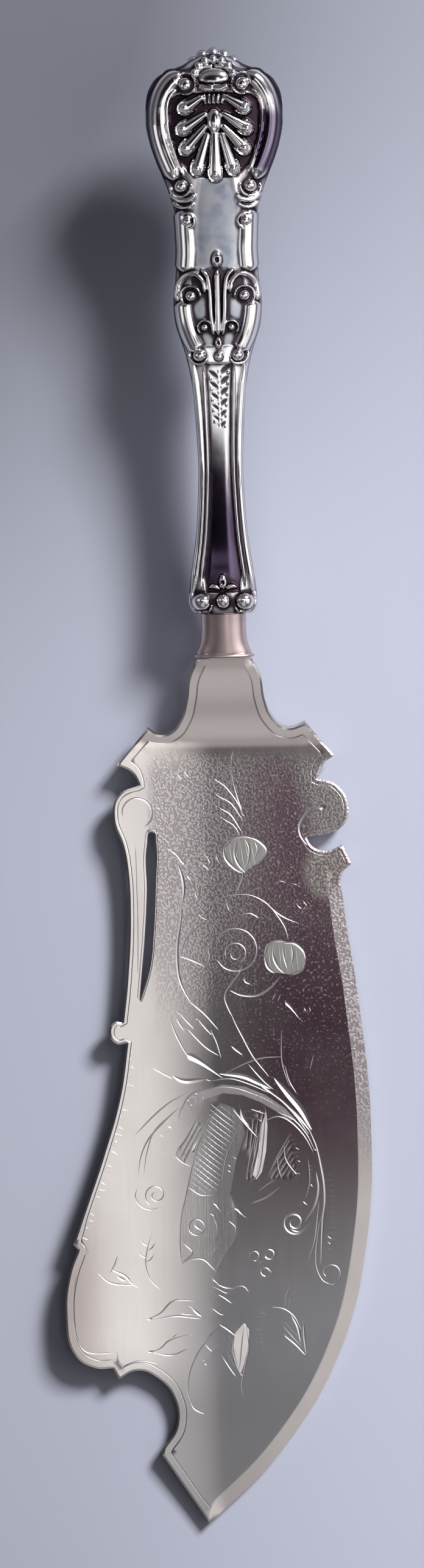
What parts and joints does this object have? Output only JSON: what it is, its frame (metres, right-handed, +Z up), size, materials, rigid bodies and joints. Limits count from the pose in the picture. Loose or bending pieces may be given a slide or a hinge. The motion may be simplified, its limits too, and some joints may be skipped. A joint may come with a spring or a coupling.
{
  "type": "fish slice",
  "caption": "Long serving slice for fish: a pierced, engraved flat blade with a shaped edge, cranked up to an oval bolster and a hollow ornamented handle.",
  "frame": {"origin": "on the blade's flat underside, on the handle's centre line, 30 mm from the bolster's lip", "axes": "+Y from the blade towards the handle's end, +Z up out of the engraved face, +X towards the blade's long curved edge"},
  "size_m": [0.0634, 0.3014, 0.0254],
  "materials": {
    "satin_silver": "satin with bright cuts",
    "cast_silver": "polished",
    "polished_silver": "mirror polish, dark in the hollows",
    "tang_steel": "as forged",
    "cement": "dull"
  },
  "bodies": {
    "root": {"blade": "satin_silver", "bolster": "cast_silver", "tang": "tang_steel", "handle_front_shell": "polished_silver", "handle_back_shell": "polished_silver", "handle_filling": "cement"}
  },
  "joints": []
}
